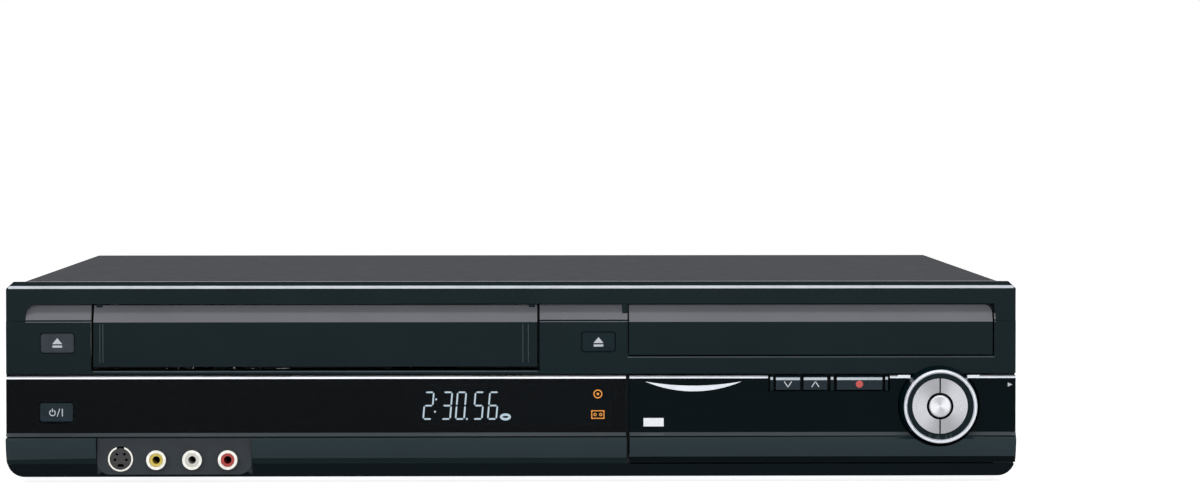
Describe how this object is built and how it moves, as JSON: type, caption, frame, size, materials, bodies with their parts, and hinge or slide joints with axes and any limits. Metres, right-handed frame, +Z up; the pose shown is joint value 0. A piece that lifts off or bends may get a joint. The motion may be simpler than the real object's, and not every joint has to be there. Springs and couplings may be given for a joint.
{
  "type": "disc and videocassette combination player",
  "caption": "Low wide player with a cassette slot, a sliding disc tray, a smoked display window and a drop-down door beside a round transfer control.",
  "frame": {"origin": "on the table, under the middle of the player's box", "axes": "+X to the viewer's right along the front, +Y from the front to the rear, +Z up"},
  "size_m": [0.43, 0.354, 0.0857],
  "materials": {
    "panel_plastic": "glossy moulded ABS",
    "window_acrylic": "smoked acrylic",
    "silver_trim": "satin silver",
    "jack_plastic": "satin moulded ABS",
    "black_steel": "fine textured paint",
    "zinc_steel": "zinc plated sheet",
    "polished_metal": "polished",
    "nickel_shell": "nickel plated",
    "socket_yellow": "moulded",
    "socket_white": "moulded",
    "socket_red": "moulded",
    "black_plastic": "moulded",
    "grey_plastic": "moulded",
    "white_plastic": "moulded acetal",
    "rubber_foot": "moulded",
    "roller_rubber": "ground",
    "board_laminate": "glass laminate with solder mask",
    "tube_glass": "display glass",
    "key_silver": "brushed",
    "transformer_tape": "wound and taped"
  },
  "bodies": {
    "player": {"top_cover": "black_steel", "bottom_chassis": "zinc_steel", "rear_panel": "zinc_steel", "front_bezel": "panel_plastic", "display_window": "window_acrylic", "trim_lines": "silver_trim", "front_jack_plate": "jack_plastic", "socket_shells": "nickel_shell", "phono_insert_yellow": "socket_yellow", "phono_insert_white": "socket_white", "phono_insert_red": "socket_red", "socket_bodies": "black_plastic", "metal_sockets": "nickel_shell", "dial_ring": "silver_trim", "feet": "rubber_foot", "cover_screws": "zinc_steel", "front_board": "board_laminate", "display_tube": "tube_glass", "circuit_boards": "board_laminate", "board_parts": "black_plastic", "transformer": "transformer_tape", "heat_sink": "zinc_steel", "tuner_can": "nickel_shell", "mains_inlet": "black_plastic", "fan_frame": "black_plastic", "deck_plate": "zinc_steel", "lower_drum": "polished_metal", "guide_posts": "polished_metal", "loader_frame": "grey_plastic", "loading_motor": "black_plastic", "traverse_frame": "zinc_steel", "clamp_bridge": "zinc_steel"},
    "cassette_door": {"cassette_door": "panel_plastic"},
    "carriage_slider": {"carriage_slider": "zinc_steel"},
    "cassette_holder": {"cassette_holder": "zinc_steel"},
    "upper_drum": {"upper_drum": "polished_metal"},
    "supply_reel": {"supply_reel_table": "grey_plastic"},
    "takeup_reel": {"takeup_reel_table": "grey_plastic"},
    "capstan": {"capstan": "polished_metal"},
    "pinch_arm": {"pinch_arm": "zinc_steel"},
    "pinch_roller": {"pinch_roller": "roller_rubber"},
    "disc_drawer": {"disc_tray": "black_plastic", "tray_front": "panel_plastic"},
    "tray_gear": {"tray_gear": "white_plastic"},
    "motor_pinion": {"motor_pinion": "white_plastic"},
    "turntable": {"turntable": "zinc_steel"},
    "pickup_sled": {"pickup_sled": "grey_plastic"},
    "clamp_puck": {"clamp_puck": "black_plastic"},
    "eject_button": {"eject_button": "panel_plastic"},
    "open_close_button": {"open_close_button": "panel_plastic"},
    "power_button": {"power_button": "panel_plastic"},
    "drop_door": {"front_door": "panel_plastic", "door_trim": "silver_trim"},
    "channel_down_key": {"channel_down_key": "panel_plastic"},
    "channel_up_key": {"channel_up_key": "panel_plastic"},
    "record_key": {"record_key": "panel_plastic"},
    "dub_left_key": {"dub_left_key": "key_silver"},
    "dub_right_key": {"dub_right_key": "key_silver"},
    "dial_centre_key": {"dial_centre_key": "key_silver"},
    "fan_rotor": {"fan_rotor": "black_plastic"}
  },
  "joints": [
    {"name": "cassette_door_swing", "type": "hinge", "parent": "player", "child": "cassette_door", "pos_m": [-0.0836, -0.163, 0.08], "axis": [1, 0, 0], "range_deg": [0, 88], "stiffness_Nm_per_rad": 0.006, "springref_deg": -11.46},
    {"name": "carriage_in", "type": "slide", "parent": "player", "child": "carriage_slider", "axis": [0, 1, 0], "range_m": [0, 0.075]},
    {"name": "holder_down", "type": "slide", "parent": "carriage_slider", "child": "cassette_holder", "axis": [0, 0, -1], "range_m": [0, 0.02]},
    {"name": "drum_spin", "type": "hinge", "parent": "player", "child": "upper_drum", "pos_m": [-0.0836, 0.043, 0.04], "axis": [0.104, 0, 0.9946], "continuous": true},
    {"name": "supply_reel_spin", "type": "hinge", "parent": "player", "child": "supply_reel", "pos_m": [-0.1296, -0.071, 0.026], "axis": [0, 0, 1], "continuous": true},
    {"name": "takeup_reel_spin", "type": "hinge", "parent": "player", "child": "takeup_reel", "pos_m": [-0.0376, -0.071, 0.026], "axis": [0, 0, 1], "continuous": true},
    {"name": "capstan_spin", "type": "hinge", "parent": "player", "child": "capstan", "pos_m": [-0.0236, 0.005, 0.025], "axis": [0, 0, 1], "continuous": true},
    {"name": "pinch_arm_swing", "type": "hinge", "parent": "player", "child": "pinch_arm", "pos_m": [-0.0036, 0.021, 0.0315], "axis": [0, 0, 1], "range_deg": [0, 22]},
    {"name": "pinch_roller_spin", "type": "hinge", "parent": "pinch_arm", "child": "pinch_roller", "pos_m": [-0.02559, 0.02156, 0.04], "axis": [0, 0, 1], "continuous": true},
    {"name": "tray_out", "type": "slide", "parent": "player", "child": "disc_drawer", "axis": [0, -1, 0], "range_m": [0, 0.142]},
    {"name": "tray_gear_spin", "type": "hinge", "parent": "player", "child": "tray_gear", "pos_m": [0.1715, -0.137, 0.0565], "axis": [0, 0, -1], "range_deg": [0, 582]},
    {"name": "motor_pinion_spin", "type": "hinge", "parent": "player", "child": "motor_pinion", "pos_m": [0.15288, -0.14125, 0.0565], "axis": [0, 0, 1], "range_deg": [0, 1628]},
    {"name": "turntable_spin", "type": "hinge", "parent": "player", "child": "turntable", "pos_m": [0.1275, -0.087, 0.06], "axis": [0, 0, 1], "continuous": true},
    {"name": "pickup_slide", "type": "slide", "parent": "player", "child": "pickup_sled", "axis": [0, 1, 0], "range_m": [0, 0.033]},
    {"name": "clamp_puck_spin", "type": "hinge", "parent": "player", "child": "clamp_puck", "pos_m": [0.1275, -0.087, 0.071], "axis": [0, 0, 1], "continuous": true},
    {"name": "eject_press", "type": "slide", "parent": "player", "child": "eject_button", "axis": [0, 1, 0], "range_m": [0, 0.0008], "stiffness_N_per_m": 400, "springref_m": -0.0012},
    {"name": "open_close_press", "type": "slide", "parent": "player", "child": "open_close_button", "axis": [0, 1, 0], "range_m": [0, 0.0008], "stiffness_N_per_m": 400, "springref_m": -0.0012},
    {"name": "power_press", "type": "slide", "parent": "player", "child": "power_button", "axis": [0, 1, 0], "range_m": [0, 0.0008], "stiffness_N_per_m": 400, "springref_m": -0.0012},
    {"name": "drop_door_fold", "type": "hinge", "parent": "player", "child": "drop_door", "pos_m": [0.1325, -0.1656, 0.0112], "axis": [1, 0, 0], "range_deg": [0, 90]},
    {"name": "channel_down_press", "type": "slide", "parent": "player", "child": "channel_down_key", "axis": [0, 1, 0], "range_m": [0, 0.0008], "stiffness_N_per_m": 400, "springref_m": -0.0012},
    {"name": "channel_up_press", "type": "slide", "parent": "player", "child": "channel_up_key", "axis": [0, 1, 0], "range_m": [0, 0.0008], "stiffness_N_per_m": 400, "springref_m": -0.0012},
    {"name": "record_press", "type": "slide", "parent": "player", "child": "record_key", "axis": [0, 1, 0], "range_m": [0, 0.0008], "stiffness_N_per_m": 400, "springref_m": -0.0012},
    {"name": "dub_left_press", "type": "slide", "parent": "player", "child": "dub_left_key", "axis": [0, 1, 0], "range_m": [0, 0.0008], "stiffness_N_per_m": 400, "springref_m": -0.0012},
    {"name": "dub_right_press", "type": "slide", "parent": "player", "child": "dub_right_key", "axis": [0, 1, 0], "range_m": [0, 0.0008], "stiffness_N_per_m": 400, "springref_m": -0.0012},
    {"name": "dial_centre_press", "type": "slide", "parent": "player", "child": "dial_centre_key", "axis": [0, 1, 0], "range_m": [0, 0.0008], "stiffness_N_per_m": 400, "springref_m": -0.0012},
    {"name": "fan_spin", "type": "hinge", "parent": "player", "child": "fan_rotor", "pos_m": [0.128, 0.162, 0.05], "axis": [0, 1, 0], "continuous": true}
  ],
  "couplings": [
    {"joint": "tray_gear_spin", "follows": "tray_out", "rad_per_m": 71.429},
    {"joint": "motor_pinion_spin", "follows": "tray_out", "rad_per_m": 200}
  ]
}
